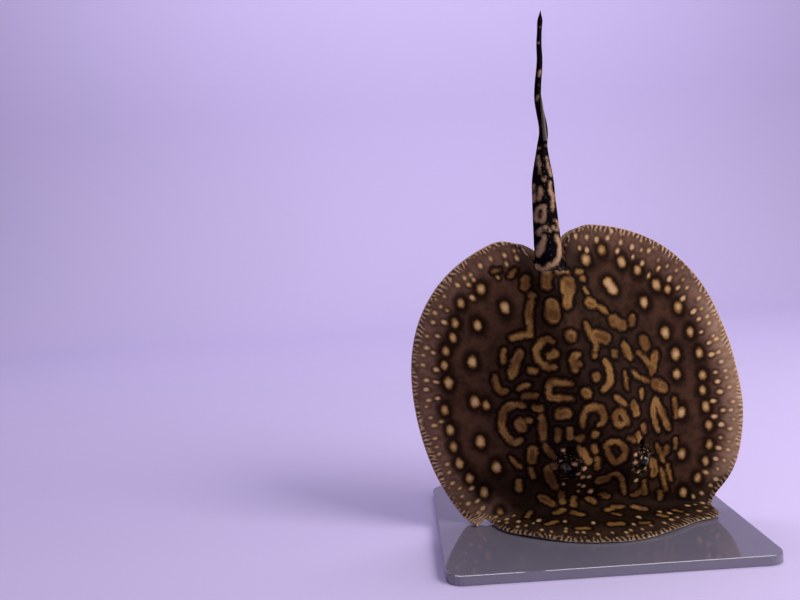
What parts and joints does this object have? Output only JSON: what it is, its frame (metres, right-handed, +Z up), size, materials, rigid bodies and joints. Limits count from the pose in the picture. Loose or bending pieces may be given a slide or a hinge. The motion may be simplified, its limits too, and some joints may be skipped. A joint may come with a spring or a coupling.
{
  "type": "freshwater stingray, still display model",
  "caption": "Life-size freshwater stingray, nose down with the front of its disc folded onto a flat base, tail upright, held by short rods behind.",
  "frame": {"origin": "middle of the stand base's underside", "axes": "+Z up, along the standing tail; the back of the fish faces -Y; +X is the fish's left side"},
  "size_m": [0.3013, 0.22, 0.4649],
  "materials": {
    "skin": "wet satin skin, dark brown with ochre marks and cream spots, pale underneath",
    "eye": "wet, dark, glossy",
    "sting": "horn-like, serrated",
    "base": "polished white acrylic",
    "rod": "brushed",
    "pad": "matt black"
  },
  "bodies": {
    "root": {"head": "skin", "snout": "skin", "trunk": "skin", "pectoral_fin_left": "skin", "pectoral_fin_right": "skin", "pelvic_fin_left": "skin", "pelvic_fin_right": "skin", "tail_base": "skin", "tail_middle": "skin", "tail_tip": "skin", "eye_left": "eye", "eye_right": "eye", "tail_sting": "sting", "stand_base": "base", "stand_rod_left": "rod", "stand_rod_right": "rod", "stand_pad_left": "pad", "stand_pad_right": "pad"}
  },
  "joints": []
}
